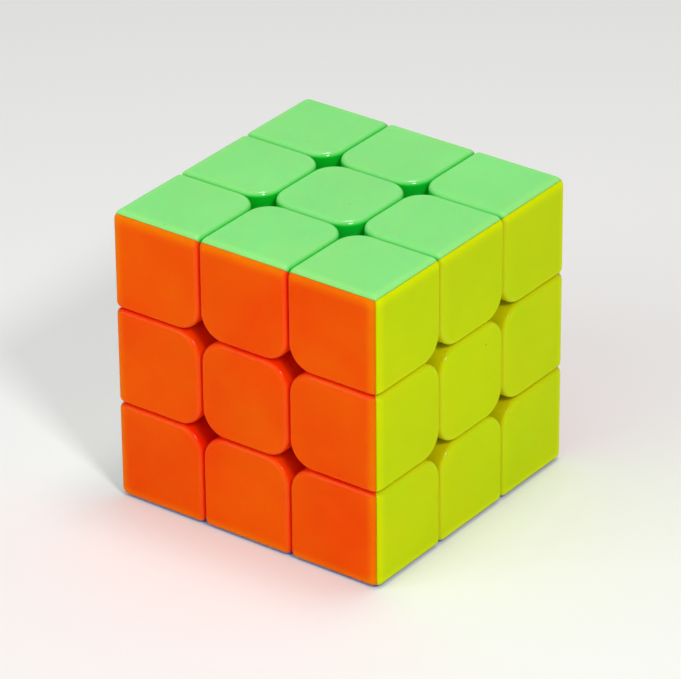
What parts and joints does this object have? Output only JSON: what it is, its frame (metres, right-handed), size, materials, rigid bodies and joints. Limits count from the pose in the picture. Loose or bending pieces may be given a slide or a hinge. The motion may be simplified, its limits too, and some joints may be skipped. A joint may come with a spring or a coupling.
{
  "type": "twisty puzzle cube",
  "caption": "Stickerless twisty puzzle cube with coloured shells on a sprung core; every face turns, and the centre caps lift off.",
  "frame": {"origin": "where the three turning axes cross, at the centre of the cube", "axes": "+Z out of the top (green) face, -Y out of the front (orange) face, +X out of the right (yellow) face"},
  "size_m": [0.056, 0.056, 0.056],
  "materials": {
    "green": "semi-gloss moulded ABS",
    "blue": "semi-gloss moulded ABS",
    "orange": "semi-gloss moulded ABS",
    "red": "semi-gloss moulded ABS",
    "yellow": "semi-gloss moulded ABS",
    "white": "semi-gloss moulded ABS",
    "core_black": "satin moulded ABS",
    "zinc_steel": "zinc-plated steel"
  },
  "bodies": {
    "core": {"core": "core_black", "core_hardware": "zinc_steel"},
    "centre_top": {"centre_top_base": "green"},
    "cap_top": {"centre_top_cap": "green"},
    "centre_bottom": {"centre_bottom_base": "blue"},
    "cap_bottom": {"centre_bottom_cap": "blue"},
    "centre_front": {"centre_front_base": "orange"},
    "cap_front": {"centre_front_cap": "orange"},
    "centre_back": {"centre_back_base": "red"},
    "cap_back": {"centre_back_cap": "red"},
    "centre_right": {"centre_right_base": "yellow"},
    "cap_right": {"centre_right_cap": "yellow"},
    "centre_left": {"centre_left_base": "white"},
    "cap_left": {"centre_left_cap": "white"},
    "edge_top_front": {"edge_top_front_half_top": "green", "edge_top_front_half_front": "orange"},
    "edge_top_back": {"edge_top_back_half_top": "green", "edge_top_back_half_back": "red"},
    "edge_bottom_front": {"edge_bottom_front_half_bottom": "blue", "edge_bottom_front_half_front": "orange"},
    "edge_bottom_back": {"edge_bottom_back_half_bottom": "blue", "edge_bottom_back_half_back": "red"},
    "edge_top_right": {"edge_top_right_half_top": "green", "edge_top_right_half_right": "yellow"},
    "edge_top_left": {"edge_top_left_half_top": "green", "edge_top_left_half_left": "white"},
    "edge_bottom_right": {"edge_bottom_right_half_bottom": "blue", "edge_bottom_right_half_right": "yellow"},
    "edge_bottom_left": {"edge_bottom_left_half_bottom": "blue", "edge_bottom_left_half_left": "white"},
    "edge_front_right": {"edge_front_right_half_front": "orange", "edge_front_right_half_right": "yellow"},
    "edge_front_left": {"edge_front_left_half_front": "orange", "edge_front_left_half_left": "white"},
    "edge_back_right": {"edge_back_right_half_back": "red", "edge_back_right_half_right": "yellow"},
    "edge_back_left": {"edge_back_left_half_back": "red", "edge_back_left_half_left": "white"},
    "corner_top_front_right": {"corner_top_front_right_third_top": "green", "corner_top_front_right_third_front": "orange", "corner_top_front_right_third_right": "yellow"},
    "corner_top_front_left": {"corner_top_front_left_third_top": "green", "corner_top_front_left_third_front": "orange", "corner_top_front_left_third_left": "white"},
    "corner_top_back_right": {"corner_top_back_right_third_top": "green", "corner_top_back_right_third_back": "red", "corner_top_back_right_third_right": "yellow"},
    "corner_top_back_left": {"corner_top_back_left_third_top": "green", "corner_top_back_left_third_back": "red", "corner_top_back_left_third_left": "white"},
    "corner_bottom_front_right": {"corner_bottom_front_right_third_bottom": "blue", "corner_bottom_front_right_third_front": "orange", "corner_bottom_front_right_third_right": "yellow"},
    "corner_bottom_front_left": {"corner_bottom_front_left_third_bottom": "blue", "corner_bottom_front_left_third_front": "orange", "corner_bottom_front_left_third_left": "white"},
    "corner_bottom_back_right": {"corner_bottom_back_right_third_bottom": "blue", "corner_bottom_back_right_third_back": "red", "corner_bottom_back_right_third_right": "yellow"},
    "corner_bottom_back_left": {"corner_bottom_back_left_thirds": "white"}
  },
  "joints": [
    {"name": "top_turn", "type": "hinge", "parent": "core", "child": "centre_top", "pos_m": [0, 0, 0], "axis": [0, 0, 1], "continuous": true},
    {"name": "bottom_turn", "type": "hinge", "parent": "core", "child": "centre_bottom", "pos_m": [0, 0, 0], "axis": [0, 0, 1], "continuous": true},
    {"name": "front_turn", "type": "hinge", "parent": "core", "child": "centre_front", "pos_m": [0, 0, 0], "axis": [0, 1, 0], "continuous": true},
    {"name": "back_turn", "type": "hinge", "parent": "core", "child": "centre_back", "pos_m": [0, 0, 0], "axis": [0, 1, 0], "continuous": true},
    {"name": "right_turn", "type": "hinge", "parent": "core", "child": "centre_right", "pos_m": [0, 0, 0], "axis": [1, 0, 0], "continuous": true},
    {"name": "left_turn", "type": "hinge", "parent": "core", "child": "centre_left", "pos_m": [0, 0, 0], "axis": [1, 0, 0], "continuous": true},
    {"name": "cap_top_lift", "type": "slide", "parent": "centre_top", "child": "cap_top", "axis": [0, 0, 1], "range_m": [0, 0.012]},
    {"name": "cap_bottom_lift", "type": "slide", "parent": "centre_bottom", "child": "cap_bottom", "axis": [0, 0, -1], "range_m": [0, 0.012]},
    {"name": "cap_front_lift", "type": "slide", "parent": "centre_front", "child": "cap_front", "axis": [0, -1, 0], "range_m": [0, 0.012]},
    {"name": "cap_back_lift", "type": "slide", "parent": "centre_back", "child": "cap_back", "axis": [0, 1, 0], "range_m": [0, 0.012]},
    {"name": "cap_right_lift", "type": "slide", "parent": "centre_right", "child": "cap_right", "axis": [1, 0, 0], "range_m": [0, 0.012]},
    {"name": "cap_left_lift", "type": "slide", "parent": "centre_left", "child": "cap_left", "axis": [-1, 0, 0], "range_m": [0, 0.012]},
    {"name": "edge_top_front_with_front", "type": "hinge", "parent": "centre_top", "child": "edge_top_front", "pos_m": [0, 0, 0], "axis": [0, 1, 0], "continuous": true},
    {"name": "edge_top_back_with_back", "type": "hinge", "parent": "centre_top", "child": "edge_top_back", "pos_m": [0, 0, 0], "axis": [0, 1, 0], "continuous": true},
    {"name": "edge_bottom_front_with_front", "type": "hinge", "parent": "centre_bottom", "child": "edge_bottom_front", "pos_m": [0, 0, 0], "axis": [0, 1, 0], "continuous": true},
    {"name": "edge_bottom_back_with_back", "type": "hinge", "parent": "centre_bottom", "child": "edge_bottom_back", "pos_m": [0, 0, 0], "axis": [0, 1, 0], "continuous": true},
    {"name": "edge_top_right_with_top", "type": "hinge", "parent": "centre_right", "child": "edge_top_right", "pos_m": [0, 0, 0], "axis": [0, 0, 1], "continuous": true},
    {"name": "edge_top_left_with_top", "type": "hinge", "parent": "centre_left", "child": "edge_top_left", "pos_m": [0, 0, 0], "axis": [0, 0, 1], "continuous": true},
    {"name": "edge_bottom_right_with_bottom", "type": "hinge", "parent": "centre_right", "child": "edge_bottom_right", "pos_m": [0, 0, 0], "axis": [0, 0, 1], "continuous": true},
    {"name": "edge_bottom_left_with_bottom", "type": "hinge", "parent": "centre_left", "child": "edge_bottom_left", "pos_m": [0, 0, 0], "axis": [0, 0, 1], "continuous": true},
    {"name": "edge_front_right_with_right", "type": "hinge", "parent": "centre_front", "child": "edge_front_right", "pos_m": [0, 0, 0], "axis": [1, 0, 0], "continuous": true},
    {"name": "edge_front_left_with_left", "type": "hinge", "parent": "centre_front", "child": "edge_front_left", "pos_m": [0, 0, 0], "axis": [1, 0, 0], "continuous": true},
    {"name": "edge_back_right_with_right", "type": "hinge", "parent": "centre_back", "child": "edge_back_right", "pos_m": [0, 0, 0], "axis": [1, 0, 0], "continuous": true},
    {"name": "edge_back_left_with_left", "type": "hinge", "parent": "centre_back", "child": "edge_back_left", "pos_m": [0, 0, 0], "axis": [1, 0, 0], "continuous": true},
    {"name": "corner_top_front_right_with_right", "type": "hinge", "parent": "edge_top_front", "child": "corner_top_front_right", "pos_m": [0, 0, 0], "axis": [1, 0, 0], "continuous": true},
    {"name": "corner_top_front_left_with_left", "type": "hinge", "parent": "edge_top_front", "child": "corner_top_front_left", "pos_m": [0, 0, 0], "axis": [1, 0, 0], "continuous": true},
    {"name": "corner_top_back_right_with_right", "type": "hinge", "parent": "edge_top_back", "child": "corner_top_back_right", "pos_m": [0, 0, 0], "axis": [1, 0, 0], "continuous": true},
    {"name": "corner_top_back_left_with_left", "type": "hinge", "parent": "edge_top_back", "child": "corner_top_back_left", "pos_m": [0, 0, 0], "axis": [1, 0, 0], "continuous": true},
    {"name": "corner_bottom_front_right_with_right", "type": "hinge", "parent": "edge_bottom_front", "child": "corner_bottom_front_right", "pos_m": [0, 0, 0], "axis": [1, 0, 0], "continuous": true},
    {"name": "corner_bottom_front_left_with_left", "type": "hinge", "parent": "edge_bottom_front", "child": "corner_bottom_front_left", "pos_m": [0, 0, 0], "axis": [1, 0, 0], "continuous": true},
    {"name": "corner_bottom_back_right_with_right", "type": "hinge", "parent": "edge_bottom_back", "child": "corner_bottom_back_right", "pos_m": [0, 0, 0], "axis": [1, 0, 0], "continuous": true},
    {"name": "corner_bottom_back_left_with_left", "type": "hinge", "parent": "edge_bottom_back", "child": "corner_bottom_back_left", "pos_m": [0, 0, 0], "axis": [1, 0, 0], "continuous": true}
  ],
  "couplings": [
    {"joint": "edge_top_front_with_front", "follows": "front_turn", "ratio": 1},
    {"joint": "edge_top_back_with_back", "follows": "back_turn", "ratio": 1},
    {"joint": "edge_bottom_front_with_front", "follows": "front_turn", "ratio": 1},
    {"joint": "edge_bottom_back_with_back", "follows": "back_turn", "ratio": 1},
    {"joint": "edge_top_right_with_top", "follows": "top_turn", "ratio": 1},
    {"joint": "edge_top_left_with_top", "follows": "top_turn", "ratio": 1},
    {"joint": "edge_bottom_right_with_bottom", "follows": "bottom_turn", "ratio": 1},
    {"joint": "edge_bottom_left_with_bottom", "follows": "bottom_turn", "ratio": 1},
    {"joint": "edge_front_right_with_right", "follows": "right_turn", "ratio": 1},
    {"joint": "edge_front_left_with_left", "follows": "left_turn", "ratio": 1},
    {"joint": "edge_back_right_with_right", "follows": "right_turn", "ratio": 1},
    {"joint": "edge_back_left_with_left", "follows": "left_turn", "ratio": 1},
    {"joint": "corner_top_front_right_with_right", "follows": "right_turn", "ratio": 1},
    {"joint": "corner_top_front_left_with_left", "follows": "left_turn", "ratio": 1},
    {"joint": "corner_top_back_right_with_right", "follows": "right_turn", "ratio": 1},
    {"joint": "corner_top_back_left_with_left", "follows": "left_turn", "ratio": 1},
    {"joint": "corner_bottom_front_right_with_right", "follows": "right_turn", "ratio": 1},
    {"joint": "corner_bottom_front_left_with_left", "follows": "left_turn", "ratio": 1},
    {"joint": "corner_bottom_back_right_with_right", "follows": "right_turn", "ratio": 1},
    {"joint": "corner_bottom_back_left_with_left", "follows": "left_turn", "ratio": 1}
  ]
}
